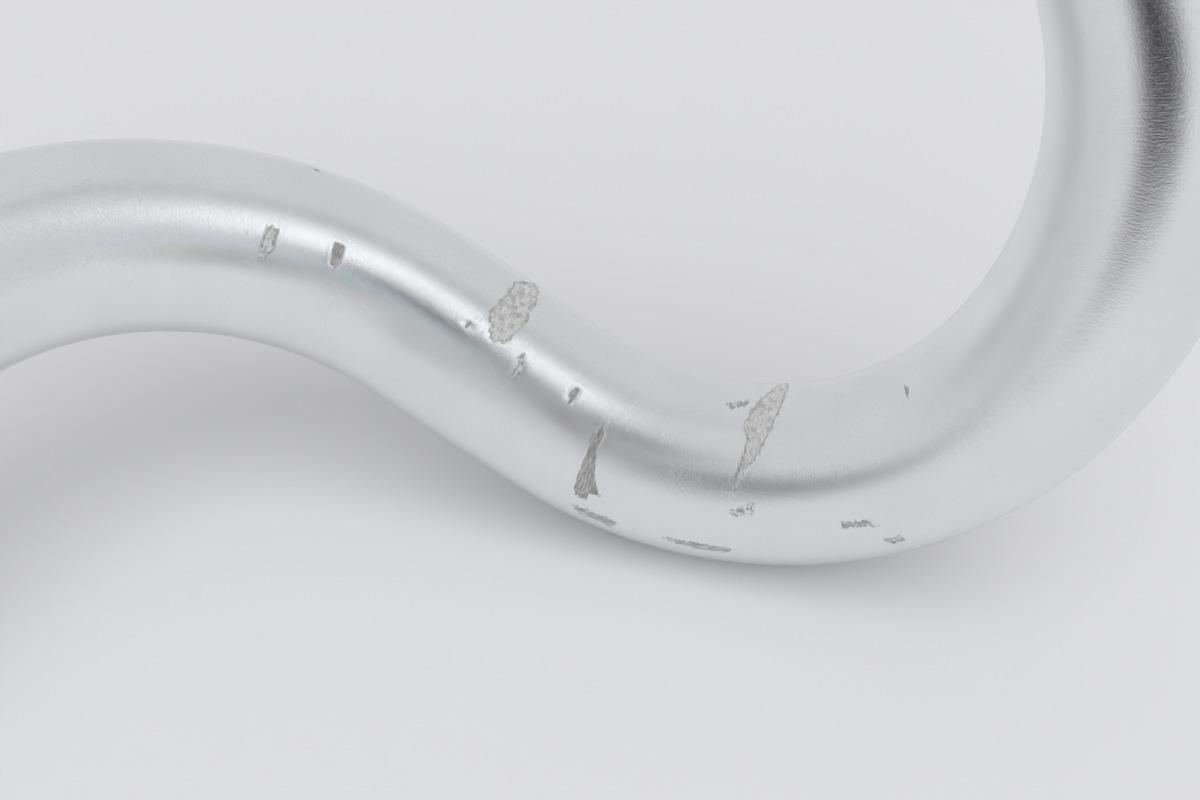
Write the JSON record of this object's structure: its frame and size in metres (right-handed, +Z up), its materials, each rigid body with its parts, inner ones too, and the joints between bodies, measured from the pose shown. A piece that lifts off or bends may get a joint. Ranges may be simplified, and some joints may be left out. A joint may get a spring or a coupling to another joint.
{
  "type": "drop handlebar",
  "caption": "Bare drop handlebar: a satin aluminium tube with rising, swept tops and round hooks, a clamp sleeve in the middle and an expanding plug in each open end.",
  "frame": {"origin": "middle of the stem clamp, on the tube's centre line", "axes": "+X along the clamp's axis, +Y forward, the way the hooks point, +Z up with the bar lying upside down on a table, as it rests"},
  "size_m": [0.4238, 0.1656, 0.1639],
  "materials": {
    "satin_tube": "satin anodised, worn",
    "bright_sleeve": "bright turned",
    "black_cap": "moulded, fine grained",
    "plated_steel": "zinc plated",
    "black_rubber": "moulded rubber",
    "turned_alloy": "turned"
  },
  "bodies": {
    "handlebar": {"bar_tube": "satin_tube", "centre_sleeve": "bright_sleeve"},
    "left_plug": {"left_plug_cap": "black_cap", "left_plug_washer": "plated_steel", "left_plug_expander": "black_rubber"},
    "left_screw": {"left_plug_screw": "plated_steel"},
    "left_wedge": {"left_plug_wedge": "turned_alloy"},
    "right_plug": {"right_plug_cap": "black_cap", "right_plug_washer": "plated_steel", "right_plug_expander": "black_rubber"},
    "right_screw": {"right_plug_screw": "plated_steel"},
    "right_wedge": {"right_plug_wedge": "turned_alloy"}
  },
  "joints": [
    {"name": "left_plug_pull", "type": "slide", "parent": "handlebar", "child": "left_plug", "axis": [0, -0.809, 0.5878], "range_m": [0, 0.045]},
    {"name": "left_screw_turn", "type": "hinge", "parent": "left_plug", "child": "left_screw", "pos_m": [-0.2, 0.05421, 0.14], "axis": [0, -0.809, 0.5878], "range_deg": [0, 1080]},
    {"name": "left_wedge_travel", "type": "slide", "parent": "left_plug", "child": "left_wedge", "axis": [0, 0.809, -0.5878], "range_m": [0, 0.0024]},
    {"name": "right_plug_pull", "type": "slide", "parent": "handlebar", "child": "right_plug", "axis": [0, -0.809, 0.5878], "range_m": [0, 0.045]},
    {"name": "right_screw_turn", "type": "hinge", "parent": "right_plug", "child": "right_screw", "pos_m": [0.2, 0.05421, 0.14], "axis": [0, -0.809, 0.5878], "range_deg": [0, 1080]},
    {"name": "right_wedge_travel", "type": "slide", "parent": "right_plug", "child": "right_wedge", "axis": [0, 0.809, -0.5878], "range_m": [0, 0.0024]}
  ],
  "couplings": [
    {"joint": "left_screw_turn", "follows": "left_wedge_travel", "rad_per_m": 7854},
    {"joint": "right_screw_turn", "follows": "right_wedge_travel", "rad_per_m": 7854}
  ]
}
